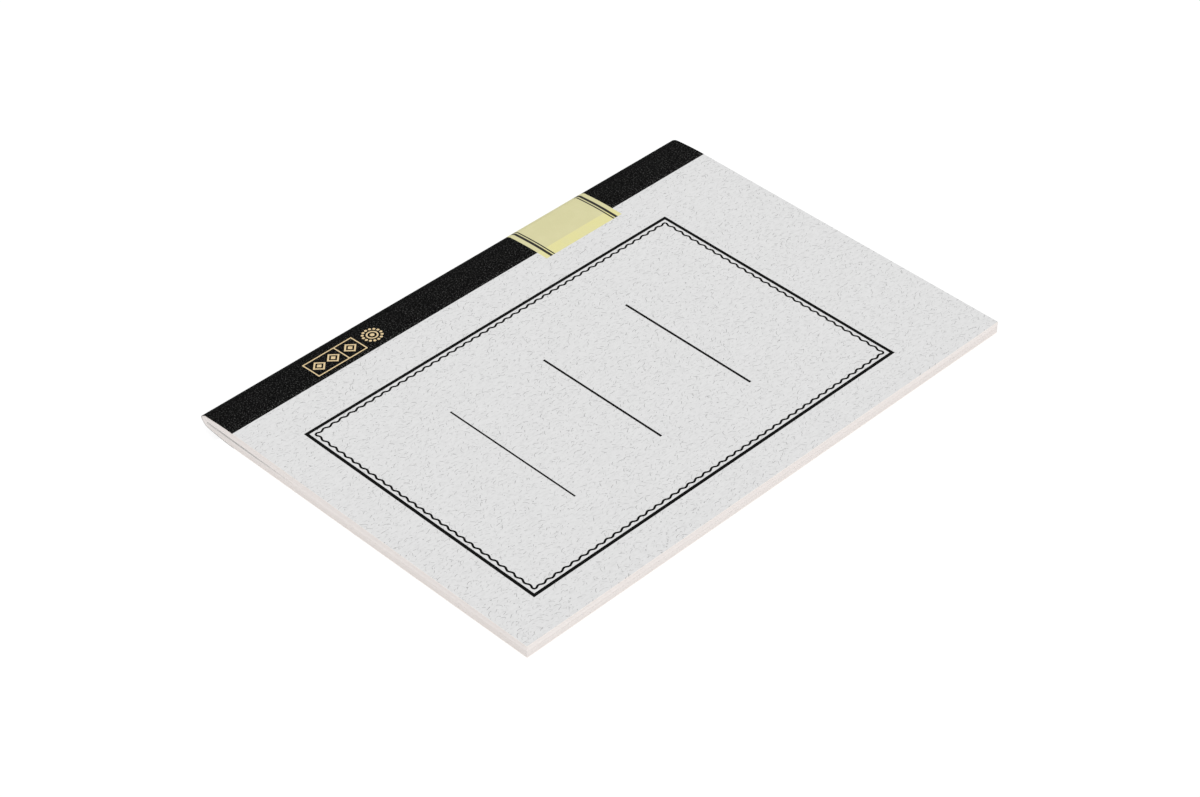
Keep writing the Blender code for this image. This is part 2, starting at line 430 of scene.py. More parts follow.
def new_group(name, inputs, outputs):
    """Empty node group with named sockets."""
    tree = bpy.data.node_groups.new(name, "ShaderNodeTree")
    for label, kind in inputs:
        tree.interface.new_socket(label, in_out="INPUT", socket_type="NodeSocket" + kind)
    for label, kind in outputs:
        tree.interface.new_socket(label, in_out="OUTPUT", socket_type="NodeSocket" + kind)
    return tree, tree.nodes.new("NodeGroupInput").outputs, tree.nodes.new("NodeGroupOutput").inputs


def use(tree, group, **inputs):
    """Places a group in a material with its own values."""
    made = add(tree, "Group")
    made.node_tree = group
    for name, value in inputs.items():
        feed(tree, made.inputs[name], value)
    return made.outputs


def new_finish(name, roughness, gloss=0.2):
    made = bpy.data.materials.new(name)
    made.use_nodes = True
    shader = made.node_tree.nodes["Principled BSDF"]
    shader.inputs["Roughness"].default_value = roughness
    shader.inputs["Specular IOR Level"].default_value = gloss
    return made, made.node_tree, shader


def emboss(tree, shader, height, depth):
    """Relief of the given depth in millimetres."""
    bump = add(tree, "Bump", {"Height": height, "Strength": 1.0, "Distance": depth * MM})
    feed(tree, shader.inputs["Normal"], bump.outputs["Normal"])


# Effects that several finishes share

def fibre_group():
    """Short bent fibres, at most one in each cell, lying mostly along the grain."""
    tree, source, sink = new_group(
        "stray_fibres",
        (("Place", "Vector"), ("Cell", "Float"), ("Length", "Float"), ("Width", "Float"),
         ("Bend", "Float"), ("Share", "Float")),
        (("Mask", "Float"),))
    shrink = calc(tree, "DIVIDE", 1.0, source["Cell"])
    local = add(tree, "VectorMath", {0: source["Place"], "Scale": shrink}, operation="SCALE")
    cell = add(
        tree, "TexVoronoi", {"Vector": local.outputs[0], "Scale": 1.0},
        voronoi_dimensions="2D", feature="F1")
    away = add(
        tree, "VectorMath", {0: local.outputs[0], 1: cell.outputs["Position"]}, operation="SUBTRACT")
    chance = add(tree, "SeparateColor", {"Color": cell.outputs["Color"]}).outputs
    astray = calc(tree, "SUBTRACT", chance[0], 0.5)
    angle = calc(tree, "MULTIPLY_ADD", astray, GRAIN_SPREAD, math.pi / 2)
    turned = add(
        tree, "VectorRotate", {"Vector": away.outputs[0], "Angle": angle}, rotation_type="Z_AXIS")
    along, across, _ = add(tree, "SeparateXYZ", {"Vector": turned.outputs[0]}).outputs
    curl = calc(tree, "MULTIPLY", calc(tree, "SUBTRACT", chance[1], 0.5), source["Bend"])
    bow = calc(tree, "MULTIPLY", calc(tree, "MULTIPLY", along, along), curl)
    off = calc(tree, "ABSOLUTE", calc(tree, "SUBTRACT", across, bow))
    reach = calc(tree, "MULTIPLY", source["Length"], calc(tree, "ADD", chance[1], 0.5))
    ends = ramp(tree, calc(tree, "ABSOLUTE", along), calc(tree, "MULTIPLY", reach, 0.6), reach, 1.0, 0.0)
    sides = ramp(tree, off, 0.0, source["Width"], 1.0, 0.0)
    weight = ramp(tree, chance[2], 0.0, source["Share"], 1.0, 0.0)
    feed(tree, sink["Mask"], calc(tree, "MULTIPLY", calc(tree, "MULTIPLY", ends, sides), weight))
    return tree


def tooth_group():
    """Fine grain of uncoated paper, with a slow cloud over it."""
    tree, source, sink = new_group(
        "paper_tooth", (("Place", "Vector"), ("Grain", "Float"), ("Cloud", "Float")),
        (("Grain", "Float"), ("Cloud", "Float")))
    feed(tree, sink["Grain"], noise(tree, source["Place"], source["Grain"], 3.0, 0.6))
    feed(tree, sink["Cloud"], noise(tree, source["Place"], source["Cloud"]))
    return tree


def weave_group():
    """Plain weave: crossing threads that go over and under in turn, with slubs along them."""
    tree, source, sink = new_group(
        "plain_weave", (("Place", "Vector"), ("Pitch", "Float")),
        (("Height", "Float"), ("Slub", "Float")))
    grow = calc(tree, "DIVIDE", 1.0, source["Pitch"])
    sway = add(tree, "TexNoise", {"Vector": source["Place"], "Scale": SWAY_GRAIN, "Detail": 1.0})
    swayed = add(tree, "VectorMath", {
        0: sway.outputs["Color"], 1: (WEAVE_SWAY * MM, WEAVE_SWAY * MM, 0.0), 2: source["Place"]},
        operation="MULTIPLY_ADD")
    counted = add(tree, "VectorMath", {0: swayed.outputs[0], "Scale": grow}, operation="SCALE")
    across, along, _ = add(tree, "SeparateXYZ", {"Vector": counted.outputs[0]}).outputs
    crowns = []
    for part in (across, along):
        crowns.append(calc(tree, "ABSOLUTE", calc(tree, "SINE", calc(tree, "MULTIPLY", part, math.pi))))
    count = calc(tree, "ADD", calc(tree, "FLOOR", across), calc(tree, "FLOOR", along))
    over = calc(tree, "ABSOLUTE", calc(tree, "MODULO", count, 2.0))
    upper = calc(tree, "MULTIPLY", over, crowns[0])
    lower = calc(tree, "MULTIPLY", calc(tree, "SUBTRACT", 1.0, over), crowns[1])
    feed(tree, sink["Height"], calc(tree, "ADD", upper, lower))
    slubs = []
    for stretch in (SLUB_GRAIN, reversed(SLUB_GRAIN)):
        drawn = add(tree, "VectorMath", {0: source["Place"], 1: (*stretch, 1.0)}, operation="MULTIPLY")
        slubs.append(noise(tree, drawn.outputs[0], 1.0, 2.0))
    feed(tree, sink["Slub"], calc(tree, "MULTIPLY", calc(tree, "ADD", *slubs), 0.5))
    return tree


def rule_group():
    """Mask of one printed rule at a given place."""
    tree, source, sink = new_group(
        "printed_rule", (("Along", "Float"), ("Centre", "Float"), ("Line", "Float")),
        (("Mask", "Float"),))
    off = calc(tree, "ABSOLUTE", calc(tree, "SUBTRACT", source["Along"], source["Centre"]))
    half = calc(tree, "MULTIPLY", source["Line"], 0.5)
    edge = calc(tree, "MULTIPLY", source["Line"], 0.1)
    feed(tree, sink["Mask"], ramp(
        tree, off, calc(tree, "SUBTRACT", half, edge), calc(tree, "ADD", half, edge), 1.0, 0.0))
    return tree


FIBRES = fibre_group()
TOOTH = tooth_group()
WEAVE = weave_group()
RULE = rule_group()


# Finishes

def girth_place(tree):
    return add(tree, "UVMap", uv_map="girth").outputs[0]


def object_place(tree):
    return add(tree, "TexCoord").outputs["Object"]


def cover_finish():
    """Light grey card with darker stray fibres and specks."""
    made, tree, shader = new_finish("mottled_grey_card", 0.86)
    place = girth_place(tree)
    tooth = use(tree, TOOTH, Place=place, Grain=CARD_GRAIN, Cloud=60.0)
    long_fibres = use(
        tree, FIBRES, Place=place, Cell=3.4 * MM, Length=0.38, Width=0.055, Bend=2.0, Share=1.0)
    short_fibres = use(
        tree, FIBRES, Place=place, Cell=1.9 * MM, Length=0.38, Width=0.095, Bend=2.4, Share=0.9)
    specks = use(
        tree, FIBRES, Place=place, Cell=4.3 * MM, Length=0.08, Width=0.075, Bend=0.0, Share=0.7)
    drawn = add(tree, "VectorMath", {0: place, 1: CARD_STREAKS}, operation="MULTIPLY")
    streaks = noise(tree, drawn.outputs[0], 1.0, 3.0, 0.6)
    pale = mix_colour(tree, tooth["Cloud"], grey(0.795), grey(0.835))
    grained = mix_colour(tree, ramp(tree, tooth["Grain"], 0.35, 0.7, 0.0, 0.3), pale, grey(0.73))
    colour = mix_colour(tree, ramp(tree, streaks, 0.4, 0.75, 0.0, 0.7), grained, grey(0.708))
    for mask, strength in ((long_fibres, 1.0), (short_fibres, 0.7), (specks, 1.0)):
        share = calc(tree, "MULTIPLY", mask["Mask"], strength)
        colour = mix_colour(tree, share, colour, grey(0.30))
    feed(tree, shader.inputs["Base Color"], colour)
    height = calc(tree, "ADD", tooth["Grain"], calc(tree, "MULTIPLY", long_fibres["Mask"], 0.5))
    emboss(tree, shader, height, CARD_RELIEF)
    return made


def cut_card_finish():
    """Pale core of the card, which shows at its cut edges."""
    made, tree, shader = new_finish("cut_card_edge", 0.9)
    tooth = use(tree, TOOTH, Place=object_place(tree), Grain=CARD_GRAIN, Cloud=90.0)
    feed(tree, shader.inputs["Base Color"], mix_colour(
        tree, tooth["Grain"], (0.96, 0.88, 0.82), (0.99, 0.93, 0.88)))
    return made


def cloth_finish():
    """Black book cloth in a fine plain weave, with dust in it, and painted shade: less of the dust shows
    where the cloth turns round the spine, so it is painted blacker there.
    """
    made, tree, shader = new_finish("black_book_cloth", 0.85, 0.04)
    place = girth_place(tree)
    weave = use(tree, WEAVE, Place=place, Pitch=WEAVE_PITCH * MM)
    around = add(tree, "SeparateXYZ", {"Vector": place}).outputs[0]
    away = calc(tree, "ABSOLUTE", around)
    turn = [(QUARTER + reach) * MM for reach in CLOTH_SHADED_ROUND]
    # painted shade: the dust share falls from 0.55 where the cloth lies flat to 0.2 as it turns round the
    # spine, which paints the round blacker
    flat = ramp(tree, away, *turn, 0.2, 0.55)
    brushed = ramp(tree, away, (CLOTH_GIRTH - CLOTH_BRUSHED) * MM, CLOTH_GIRTH * MM, 0.0, 0.6)
    # share of dust, lowered round the spine for painted shade and raised at the brushed cut edge for wear
    rubbed = calc(tree, "ADD", flat, brushed)
    worn = noise(tree, place, WORN_GRAIN, 2.0, 0.6)
    slubs = mix_colour(tree, ramp(tree, weave["Slub"], 0.38, 0.66), grey(0.0005), grey(0.003))
    dust_and_painted_shade = calc(tree, "MULTIPLY", ramp(tree, worn, 0.55, 0.65), rubbed)
    dusty_and_shaded = mix_colour(tree, dust_and_painted_shade, slubs, (0.122, 0.122, 0.118))
    dark = mix_colour(tree, ramp(tree, weave["Height"], 0.0, 0.5, 0.6, 0.0), dusty_and_shaded, grey(0.001))
    feed(tree, shader.inputs["Base Color"], dark)
    height = calc(tree, "ADD", weave["Height"], calc(tree, "MULTIPLY", weave["Slub"], 0.6))
    emboss(tree, shader, height, CLOTH_RELIEF)
    return made


def label_finish():
    """Thin yellow paper that the dark cloth shows through, with double rules at both ends."""
    made, tree, shader = new_finish("yellow_label_paper", 0.7)
    place = object_place(tree)
    x, y, _ = add(tree, "SeparateXYZ", {"Vector": place}).outputs
    around = girth_place(tree)
    tooth = use(tree, TOOTH, Place=around, Grain=LABEL_GRAIN, Cloud=120.0)
    weave = use(tree, WEAVE, Place=around, Pitch=WEAVE_PITCH * MM)
    off_cloth = ramp(tree, x, (X_CLOTH - CLOTH_BLUR) * MM, (X_CLOTH + CLOTH_BLUR) * MM)
    yellow = mix_colour(tree, off_cloth, (0.735, 0.70, 0.40), (0.855, 0.805, 0.375))
    grained = mix_colour(
        tree, ramp(tree, tooth["Grain"], 0.3, 0.75, 0.0, 0.4), yellow, (0.66, 0.625, 0.34))
    cloudy = mix_colour(tree, ramp(tree, tooth["Cloud"], 0.4, 0.7, 0.0, 0.3), grained, (0.79, 0.75, 0.45))
    ink = 0.0
    for end, inwards in ((LABEL_TAIL, 1), (LABEL_HEAD, -1)):
        for away, line in (LABEL_THICK_RULE, LABEL_THIN_RULE):
            band = use(tree, RULE, Along=y, Centre=(end + inwards * away) * MM, Line=line * MM)
            ink = calc(tree, "MAXIMUM", ink, band["Mask"])
    feed(tree, shader.inputs["Base Color"], mix_colour(tree, ink, cloudy, (0.018, 0.016, 0.014)))
    height = calc(tree, "ADD", tooth["Grain"], calc(tree, "MULTIPLY", weave["Height"], 0.4))
    emboss(tree, shader, height, LABEL_RELIEF)
    return made


def leaf_finish():
    """Cream writing paper, ruled across the page."""
    made, tree, shader = new_finish("ruled_cream_paper", 0.9)
    place = object_place(tree)
    y = add(tree, "SeparateXYZ", {"Vector": place}).outputs[1]
    tooth = use(tree, TOOTH, Place=place, Grain=LEAF_GRAIN, Cloud=90.0)
    cream = mix_colour(tree, tooth["Cloud"], (0.905, 0.855, 0.83), (0.925, 0.875, 0.85))
    grained = mix_colour(tree, ramp(tree, tooth["Grain"], 0.3, 0.8, 0.0, 0.2), cream, CREAM_SHADE)
    first = Y_HEAD - RULE_FIRST
    count = int((first - Y_TAIL - RULE_LAST) // RULE_PITCH)
    counted = calc(tree, "DIVIDE", calc(tree, "SUBTRACT", first * MM, y), RULE_PITCH * MM)
    nearest = calc(tree, "ROUND", counted)
    off_rule = calc(tree, "ABSOLUTE", calc(tree, "SUBTRACT", counted, nearest))
    between = calc(tree, "MULTIPLY", off_rule, RULE_PITCH)
    line = ramp(tree, between, RULE_LINE * 0.35, RULE_LINE * 0.6, 1.0, 0.0)
    started = calc(tree, "GREATER_THAN", nearest, -0.5)
    stopped = calc(tree, "LESS_THAN", nearest, count + 0.5)
    for limit in (started, stopped):
        line = calc(tree, "MULTIPLY", line, limit)
    feed(tree, shader.inputs["Base Color"], mix_colour(tree, line, grained, (0.42, 0.50, 0.60)))
    emboss(tree, shader, tooth["Grain"], LEAF_RELIEF)
    return made


def leaf_edge_finish():
    """Cut edges of the leaves, which differ in tone through the block, with painted shade: darker low
    down, and grey where the block gapes next to the fold.
    """
    made, tree, shader = new_finish("cut_leaf_edge", 0.9)
    place = object_place(tree)
    x, _, z = add(tree, "SeparateXYZ", {"Vector": place}).outputs
    tooth = use(tree, TOOTH, Place=place, Grain=LEAF_GRAIN, Cloud=90.0)
    stacked = add(tree, "VectorMath", {0: place, 1: LEAF_BANDS}, operation="MULTIPLY")
    bands = noise(tree, stacked.outputs[0], 1.0, 2.0, 0.5)
    cream = mix_colour(tree, ramp(tree, bands, 0.35, 0.65), (0.885, 0.83, 0.805), (0.95, 0.90, 0.875))
    # painted shade: the leaf edges are painted darker low down in the block, towards the floor
    heights = [(Z_FOLD + height) * MM for height in LEAF_SHADED]
    lower = ramp(tree, z, *heights, 0.0, 0.6)
    shaded = mix_colour(tree, lower, cream, (0.83, 0.78, 0.755))
    grained = mix_colour(tree, ramp(tree, tooth["Grain"], 0.3, 0.8, 0.0, 0.2), shaded, CREAM_SHADE)
    # painted shade: the leaf edges near the middle of the block, next to the fold, are painted grey for
    # the shade in the gap where it gapes
    slope = (front_face(X_FORE) - front_face(X_FOLD)) / (X_FORE - X_FOLD) / 2
    middle = calc(tree, "MULTIPLY_ADD", x, slope, front_face(0) / 2 * MM)
    off_middle = calc(tree, "ABSOLUTE", calc(tree, "SUBTRACT", z, middle))
    gape_shade = ramp(tree, off_middle, GAPE_SHADE_WIDTH[0] * MM, GAPE_SHADE_WIDTH[1] * MM, 1.0, 0.0)
    started = ramp(tree, x, (X_FOLD - LEAF_START) * MM, (X_FOLD + LEAF_START) * MM)
    near = calc(tree, "MULTIPLY", started, ramp(tree, x, GAPE_SHADE_X[0] * MM, GAPE_SHADE_X[1] * MM, 1.0, 0.0))
    feed(tree, shader.inputs["Base Color"], mix_colour(
        tree, calc(tree, "MULTIPLY", gape_shade, near), grained, (0.35, 0.385, 0.39)))
    emboss(tree, shader, tooth["Grain"], CUT_LEAF_RELIEF)
    return made


def thread_finish():
    """White sewing thread, slightly uneven along its plies."""
    made, tree, shader = new_finish("white_sewing_thread", 0.65)
    fuzz = noise(tree, object_place(tree), THREAD_FUZZ)
    feed(tree, shader.inputs["Base Color"], mix_colour(tree, fuzz, (0.72, 0.70, 0.65), (0.90, 0.89, 0.85)))
    emboss(tree, shader, fuzz, THREAD_RELIEF)
    return made


def ink_finish():
    """Black printing ink that has sunk into the card."""
    made, tree, shader = new_finish("black_printing_ink", 0.8, 0.08)
    tooth = use(tree, TOOTH, Place=object_place(tree), Grain=CARD_GRAIN, Cloud=200.0)
    feed(tree, shader.inputs["Base Color"], mix_colour(
        tree, ramp(tree, tooth["Grain"], 0.45, 0.8), grey(0.001), grey(0.006)))
    emboss(tree, shader, tooth["Grain"], INK_RELIEF)
    return made


def foil_finish():
    """Dull gold foil pressed into the weave of the cloth."""
    made, tree, shader = new_finish("dull_gold_foil", 0.5)
    shader.inputs["Metallic"].default_value = 0.35
    place = object_place(tree)
    weave = use(tree, WEAVE, Place=place, Pitch=WEAVE_PITCH * MM)
    rubbed = noise(tree, place, WORN_GRAIN, 3.0, 0.6)
    feed(tree, shader.inputs["Base Color"], mix_colour(
        tree, ramp(tree, rubbed, 0.45, 0.75, 0.0, 0.6), (0.82, 0.645, 0.37), (0.66, 0.50, 0.28)))
    feed(tree, shader.inputs["Roughness"], ramp(tree, rubbed, 0.3, 0.7, 0.42, 0.62))
    emboss(tree, shader, weave["Height"], FOIL_RELIEF)
    return made


COVER_CARD = cover_finish()
CUT_CARD = cut_card_finish()
BOOK_CLOTH = cloth_finish()
LABEL_PAPER = label_finish()
LEAF_PAPER = leaf_finish()
CUT_LEAF = leaf_edge_finish()
SEWING_THREAD = thread_finish()
PRINT_INK = ink_finish()
GOLD_FOIL = foil_finish()


# Covers, with their cloth and label

def show_cut_edges(made, finish, flattest=CARD_FLATTEST):
    """Gives the cut edges of card or paper a finish of their own."""
    made.data.materials.append(finish)
    for face in made.data.polygons:
        from_spine = math.hypot(face.normal.x, face.normal.z)
        flat = from_spine if face.center.x < X_FOLD * MM else abs(face.normal.z)
        if flat < flattest:
            face.material_index = 1


def panel_section(face, start, stop, shallow, deep):
    return [
        (start, face(start, shallow)), (stop, face(stop, shallow)),
        (stop, face(stop, deep)), (start, face(start, deep))]


def cover_section(face):
    """Cover with the step that the cloth lies in."""
    edge = X_CLOTH + PASTE
    return [
        (X_FOLD, face(X_FOLD, CLOTH_SEAT)), (edge, face(edge, CLOTH_SEAT)),
        (edge, face(edge, 0)), (X_FORE, face(X_FORE, 0)),
        (X_FORE, face(X_FORE, COVER)), (X_FOLD, face(X_FOLD, COVER))]


def make_panel(name, section, span, finish, slot):
    """Flat layer of a cover, cut across at the crease and beyond it, and drawn in towards the fold."""
    mesh = section_bar(section, *span)
    soften(mesh)
    cut_across(mesh, X_FOLD, X_FOLD + BEND, BEND_CUTS)
    cut_across(mesh, X_FOLD + BEND, X_FOLD + TUCK_REACH, TUCK_CUTS)
    map_girth(mesh)
    draw_in(mesh)
    made = make_piece(name, mesh, finish, slot)
    at(X_FOLD, 0)
    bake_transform(made)
    return made


def make_covers():
    whole = (Y_TAIL, Y_HEAD)
    label = (LABEL_TAIL, LABEL_HEAD)
    for side, face in (("front", front_face), ("back", back_face)):
        layers = (
            ("cover", cover_section(face), whole, COVER_CARD, "cover_paper"),
            ("cloth", panel_section(face, X_FOLD, X_CLOTH, 0, CLOTH), whole, BOOK_CLOTH, "spine_cloth"),
            ("label", panel_section(face, X_FOLD, X_LABEL, -LABEL_PROUD, LABEL_SUNK), label,
             LABEL_PAPER, "label_paper"),
        )
        for layer, section, span, finish, slot in layers:
            made = make_panel(f"{layer}_{side}_panel", section, span, finish, slot)
            if layer == "cover":
                show_cut_edges(made, CUT_CARD)
            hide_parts(f"{side}_{layer}")


# Layers that bend round the spine, and the folded sheets

def follow_fold(made, radius):
    """Bakes the place of the piece; the heights of the fold at the back leaves and at the given front leaf
    are worked out but not used.
    """
    low = Z_FOLD - tucked(radius, TUCK_BACK)
    high = Z_FOLD + tucked(radius, TUCK_FRONT)
    at(X_FOLD, low)
    at(X_FOLD, high)
    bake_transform(made)


def make_spine():
    whole = (Y_TAIL + END_RECESS, Y_HEAD - END_RECESS)
    label = (LABEL_TAIL, LABEL_HEAD)
    layers = (
        ("cover", RADIUS - CLOTH_SEAT, COVER - CLOTH_SEAT, whole, COVER_CARD, "cover_paper"),
        ("cloth", RADIUS, CLOTH, whole, BOOK_CLOTH, "spine_cloth"),
        ("label", RADIUS + LABEL_PROUD, LABEL_PROUD + LABEL_SUNK, label, LABEL_PAPER, "label_paper"),
    )
    for layer, outer, thick, span, finish, slot in layers:
        mesh = half_ring(outer, thick, *span, RING_STEPS)
        map_girth(mesh)
        draw_in(mesh)
        made = make_piece(f"{layer}_round_spine", mesh, finish, slot)
        if layer == "cover":
            show_cut_edges(made, CUT_CARD)
        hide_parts(f"{layer}_spine")
        follow_fold(made, outer - thick)


def make_folds():
    """The fold of every sheet, which joins its front leaf to its back leaf."""
    for number in range(1, SHEETS + 1):
        leaf = f"front_leaf_{number:02d}"
        outer = solid(leaf)[1].z - Z_FOLD
        mesh = half_ring(
            outer, FOLD_SWELL, Y_TAIL + END_RECESS, Y_HEAD - END_RECESS, FOLD_STEPS, LEAF_START)
        draw_in(mesh)
        made = make_piece(f"sheet_fold_{number:02d}", mesh, LEAF_PAPER, "leaf_paper")
        show_cut_edges(made, CUT_LEAF)
        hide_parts("sheet_folds")
        follow_fold(made, outer - FOLD_SWELL)


def settled(at_fold, at_edge, outside):
    """Point where a face of a front leaf has settled inwards, with so many leaves outside it."""
    share = (GAPE_END - at_fold[0]) / (at_edge[0] - at_fold[0])
    last = solid(f"front_leaf_{SHEETS:02d}")
    gap_fold = last[1].z - FOLD_SWELL - Z_FOLD
    gap_edge = last[0].z - front_face(X_FORE) / 2
    gap = gap_fold + (gap_edge - gap_fold) * share
    straight = at_fold[1] + (at_edge[1] - at_fold[1]) * share
    return GAPE_END, straight - (gap - CLOSED_GAP) * outside / SHEETS


def leaf_section(number, side):
    """Leaf of a sheet as it lies in the block, sprung open a little towards the fold.

    Sheets are numbered from the front cover inwards, and back leaves mirror the front ones.
    """
    low, high = solid(f"front_leaf_{number:02d}")
    outer = (low.x, high.z), (X_FORE, low.z + EDGE_SWELL)
    inner = (low.x, high.z - FOLD_SWELL), (X_FORE, low.z)
    closed = settled(*outer, number - 1), settled(*inner, number)
    corners = (outer[0], closed[0], outer[1], inner[1], closed[1], inner[0])
    if side == "front":
        return corners
    return [(x, front_face(x) - z) for x, z in corners]


def make_leaves():
    for number in range(1, SHEETS + 1):
        front = f"front_leaf_{number:02d}"
        back = f"back_leaf_{SHEETS + 1 - number:02d}"
        for side, node, body in (("front", front, front), ("back", back, "back_block")):
            mesh = section_bar(leaf_section(number, side), Y_TAIL, Y_HEAD)
            soften(mesh, LEAF_EDGE)
            cut_across(mesh, X_FOLD, X_FOLD + TUCK_REACH, TUCK_CUTS)
            draw_in(mesh)
            made = make_piece(node + "_page", mesh, LEAF_PAPER, "leaf_paper")
            show_cut_edges(made, CUT_LEAF, LEAF_FLATTEST)
            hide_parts(node)
            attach(made, body)


# Sewing

def stitch_route(run, dip):
    """Points of a thread as (depth, y): runs along the fold, and a loop into each needle hole."""
    loop = ((run, LEG + DIP_RUN), (run + (dip - run) * DIP_START, LEG), (dip, LEG))
    route = []
    for number in range(NEEDLE_HOLES):
        y = (number - (NEEDLE_HOLES - 1) / 2) * STITCH
        route.extend(Vector((depth, y - away)) for depth, away in loop)
        route.extend(Vector((depth, y + away)) for depth, away in reversed(loop))
    return route


def walk(route, step):
    """Evenly spaced points along a route, with the direction at each."""
    for start, stop in zip(route, route[1:]):
        run = stop - start
        count = max(1, round(run.length / step))
        for number in range(count):
            yield start + run * number / count, run.normalized()


def ply_points(route, turn):
    """One ply, wound round the line of the thread."""
    points = []
    gone = 0.0
    before = route[0]
    for place, heading in walk(route, THREAD_STEP):
        gone += (place - before).length
        before = place
        angle = 2 * math.pi * gone / TWIST + turn
        side = Vector((-heading.y, heading.x)) * PLY * math.cos(angle)
        depth, y = place + side
        points.append((X_FOLD - depth, y, Z_FOLD + PLY * math.sin(angle)))
    return points


def make_thread(side, run, dip):
    """Thread of two twisted plies."""
    name = side + "_stitches"
    curve = bpy.data.curves.new(name + "_line", "CURVE")
    curve.dimensions = "3D"
    curve.bevel_depth = PLY * MM
    curve.bevel_resolution = 1
    curve.use_fill_caps = True
    route = stitch_route(run, dip)
    for turn in (0, math.pi):
        points = ply_points(route, turn)
        spline = curve.splines.new("POLY")
        spline.points.add(len(points) - 1)
        for point, place in zip(spline.points, points):
            point.co = (*(Vector(place) * MM), 1)
    line = place_object(name + "_line", curve)
    shown = line.evaluated_get(bpy.context.evaluated_depsgraph_get())
    data = bpy.data.meshes.new_from_object(shown)
    bpy.data.objects.remove(line)
    data.name = name
    data.materials.clear()
    data.materials.append(SEWING_THREAD)
    data.shade_smooth()
    made = place_object(name, data)
    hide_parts(side + "_thread")
    at(X_FOLD, Z_FOLD - HALF_TURN)
    at(X_FOLD, Z_FOLD + HALF_TURN)
    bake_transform(made)


def make_sewing():
    make_thread("inner", INNER_RUN, INNER_DIP)
    make_thread("outer", OUTER_RUN, OUTER_DIP)


# Print and foil on the front cover

def lay_on_front(mesh):
    """Sets a flat design on the sloping front of the notebook."""
    cut_across(mesh, X_FOLD, X_FOLD + TUCK_REACH, 2 * TUCK_CUTS)
    for vert in mesh.verts:
        vert.co.z += front_face(vert.co.x) - tuck(vert.co.x, TUCK_FRONT)


def thicken(mesh, thick):
    """Gives a flat design on the ground plane its thickness."""
    pull_out(mesh, mesh.faces[:], (0, 0, thick))
    bmesh.ops.recalc_face_normals(mesh, faces=mesh.faces)


def add_plate(mesh, x, y):
    """Flat rectangle between two X and two Y values."""
    made = bmesh.ops.create_grid(mesh, x_segments=1, y_segments=1, size=0.5)["verts"]
    bmesh.ops.scale(mesh, verts=made, vec=(x[1] - x[0], y[1] - y[0], 1))
    bmesh.ops.translate(mesh, verts=made, vec=((x[0] + x[1]) / 2, (y[0] + y[1]) / 2, 0))
    return made[0].link_faces[0]


def hollow(mesh, face, line):
    """Leaves only a line of a flat face, along its edge."""
    bmesh.ops.inset_region(mesh, faces=[face], thickness=line, use_boundary=True, use_even_offset=True)
    bmesh.ops.delete(mesh, geom=[face], context="FACES")


def add_outline(mesh, x, y, line):
    """Rectangular line with mitred corners, its middle on the given values."""
    half = line / 2
    plate = add_plate(mesh, (x[0] - half, x[1] + half), (y[0] - half, y[1] + half))
    hollow(mesh, plate, line)


def add_disc(mesh, centre, radius, sides):
    made = bmesh.ops.create_circle(mesh, cap_ends=True, segments=sides, radius=radius)["verts"]
    bmesh.ops.translate(mesh, verts=made, vec=(*centre, 0))
    return made[0].link_faces[0]


def finish_print(name, mesh, thick, finish):
    thicken(mesh, thick)
    lay_on_front(mesh)
    made = make_piece(name, mesh, finish, smooth=False)
    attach(made, "front_cover")


def wave_side(corner, along, out_before, out_after, length, count):
    """Points of the wavy line from the middle of one rounded corner to the next.

    The corner is where the two straight sides would meet, and each point has its height
    added towards the outside of the frame.
    """
    quarter = WAVE_CORNER * math.pi / 4
    whole = length - 2 * WAVE_CORNER + 2 * quarter
    first = corner + (along - out_after) * WAVE_CORNER
    last = corner + along * (length - WAVE_CORNER) - out_after * WAVE_CORNER
    points = []
    for number in range(count * WAVE_STATIONS):
        gone = whole * number / (count * WAVE_STATIONS)
        height = WAVE_HEIGHT * math.cos(2 * math.pi * count * gone / whole)
        if gone < quarter:
            angle = math.pi / 4 - gone / WAVE_CORNER
            out = out_after * math.cos(angle) + out_before * math.sin(angle)
            points.append(first + out * (WAVE_CORNER + height))
        elif gone > whole - quarter:
            angle = (gone - whole + quarter) / WAVE_CORNER
            out = out_after * math.cos(angle) + along * math.sin(angle)
            points.append(last + out * (WAVE_CORNER + height))
        else:
            points.append(first + along * (gone - quarter) + out_after * (WAVE_CORNER + height))
    return points


def wave_points():
    """The whole wavy line, counter-clockwise from the tail corner at the spine."""
    low = Vector((FRAME_X[0] + WAVE_INSET, FRAME_Y[0] + WAVE_INSET))
    high = Vector((FRAME_X[1] - WAVE_INSET, FRAME_Y[1] - WAVE_INSET))
    right, up = Vector((1, 0)), Vector((0, 1))
    sides = (
        (low, right, -right, -up, high.x - low.x),
        (Vector((high.x, low.y)), up, -up, right, high.y - low.y),
        (high, -right, right, up, high.x - low.x),
        (Vector((low.x, high.y)), -up, up, -right, high.y - low.y),
    )
    points = []
    for corner, along, before, after, length in sides:
        points.extend(wave_side(corner, along, before, after, length, round(length / WAVE_LENGTH)))
    return points


def add_loop(mesh, points, aside):
    """Closed loop of edges beside a closed line of points."""
    verts = []
    count = len(points)
    for number, place in enumerate(points):
        heading = (points[(number + 1) % count] - points[number - 1]).normalized()
        verts.append(mesh.verts.new((place.x - heading.y * aside, place.y + heading.x * aside, 0)))
    return [mesh.edges.new((verts[number - 1], verts[number])) for number in range(count)]


